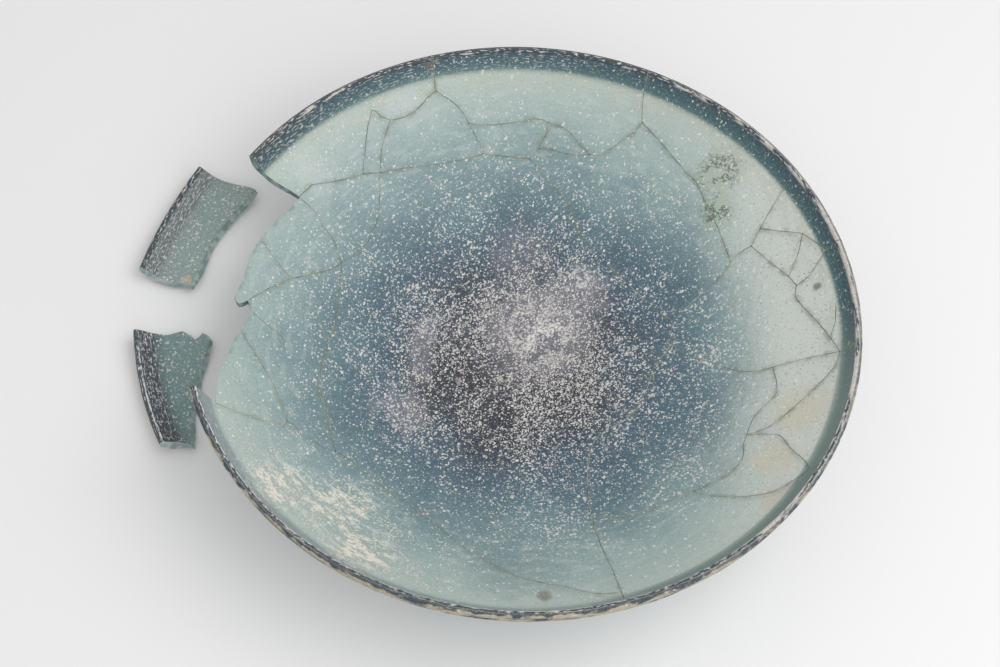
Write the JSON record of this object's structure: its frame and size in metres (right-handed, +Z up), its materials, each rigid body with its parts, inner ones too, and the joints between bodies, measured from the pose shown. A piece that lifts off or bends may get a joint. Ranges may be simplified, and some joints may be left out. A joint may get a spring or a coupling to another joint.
{
  "type": "broken glass bowl",
  "caption": "Shallow glass bowl with an upright collared rim and a low foot ring, glued together from sherds, with an open stretch of rim and its loose rim sherds lying beside it.",
  "frame": {"origin": "on the table, under the middle of all the pieces together", "axes": "+Z up out of the bowl's mouth; the open stretch of rim and the loose sherds are on the -X side"},
  "size_m": [0.2876, 0.26, 0.046],
  "materials": {
    "foot_glass": "weathered, speckled with pale crust",
    "inner_glass": "weathered, lightly speckled",
    "wall_glass": "weathered, satin",
    "pale_glass": "weathered, satin, stained beige in places",
    "rim_glass": "weathered, crusted along the lip",
    "loose_glass": "weathered, crusted on the collar"
  },
  "bodies": {
    "root": {"foot_sherd": "foot_glass", "front_left_rim_sherd": "rim_glass", "left_triangle_sherd": "wall_glass", "left_middle_sherd": "wall_glass", "left_upper_sherd": "wall_glass", "left_point_sherd": "wall_glass", "upper_left_sherd": "wall_glass", "back_left_rim_sherd": "rim_glass", "back_strip_sherd": "wall_glass", "back_wall_sherd": "wall_glass", "back_rim_sherd": "rim_glass", "back_band_sherd": "wall_glass", "back_chip_sherd": "wall_glass", "upper_right_sherd": "inner_glass", "upper_right_rim_sherd": "rim_glass", "right_upper_rim_sherd": "pale_glass", "right_upper_sherd": "pale_glass", "right_chip_sherd": "pale_glass", "right_rim_sherd": "pale_glass", "right_wall_sherd": "inner_glass", "right_lower_sherd": "pale_glass", "right_lower_rim_sherd": "pale_glass", "lower_chip_sherd": "pale_glass", "lower_right_sherd": "inner_glass", "front_right_rim_sherd": "rim_glass", "loose_upper_rim_sherd": "loose_glass", "loose_lower_rim_sherd": "loose_glass"}
  },
  "joints": []
}
